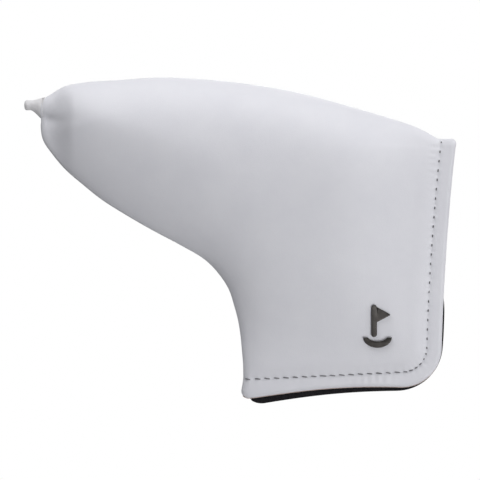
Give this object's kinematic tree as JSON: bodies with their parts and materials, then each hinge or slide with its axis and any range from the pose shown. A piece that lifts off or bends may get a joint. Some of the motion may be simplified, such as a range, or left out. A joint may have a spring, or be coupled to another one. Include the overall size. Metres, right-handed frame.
{
  "type": "putter head cover",
  "caption": "Padded white leather cover for a blade golf putter head: two sewn halves with black plush lining, a rolled toe tail and a small emblem, closing on magnets at the heel and neck.",
  "frame": {"origin": "middle of the neck's mouth, in the plane between the two halves, where the putter's shaft leaves", "axes": "+X from the toe to the heel, +Z from the neck up to the crown, and the emblem side faces -Y"},
  "size_m": [0.1816, 0.0432, 0.1377],
  "materials": {
    "white_leather": "smooth cool-white synthetic leather, faint grain, satin",
    "foam": "soft open-cell foam",
    "black_lining": "short black plush",
    "hem_thread": "dark grey polyester thread",
    "seam_thread": "off-white polyester thread",
    "magnet": "nickel-plated disc",
    "gunmetal": "dark gunmetal, satin",
    "rolled_tail": "off-white rolled end"
  },
  "bodies": {
    "shell": {"front_leather": "white_leather", "front_foam": "foam", "front_lining": "black_lining", "rear_leather": "white_leather", "rear_foam": "foam", "rear_lining": "black_lining", "seam_thread": "seam_thread", "toe_tail": "rolled_tail", "toe_whipping": "seam_thread"},
    "front_flap": {"front_flap_leather": "white_leather", "front_flap_foam": "foam", "front_flap_lining": "black_lining", "front_magnets": "magnet", "front_hem_thread": "hem_thread", "emblem_pennant": "gunmetal", "emblem_ground": "gunmetal"},
    "rear_flap": {"rear_flap_leather": "white_leather", "rear_flap_foam": "foam", "rear_flap_lining": "black_lining", "rear_magnets": "magnet", "rear_hem_thread": "hem_thread"}
  },
  "joints": [
    {"name": "front_flap_open", "type": "hinge", "parent": "shell", "child": "front_flap", "pos_m": [0.0046, -0.0172, 0.05165], "axis": [-0.6094, 0, -0.7929], "range_deg": [0, 50], "stiffness_Nm_per_rad": 0.05, "springref_deg": -11.46},
    {"name": "rear_flap_open", "type": "hinge", "parent": "shell", "child": "rear_flap", "pos_m": [0.0046, 0.0172, 0.05165], "axis": [0.6094, 0, 0.7929], "range_deg": [0, 50], "stiffness_Nm_per_rad": 0.05, "springref_deg": -11.46}
  ]
}
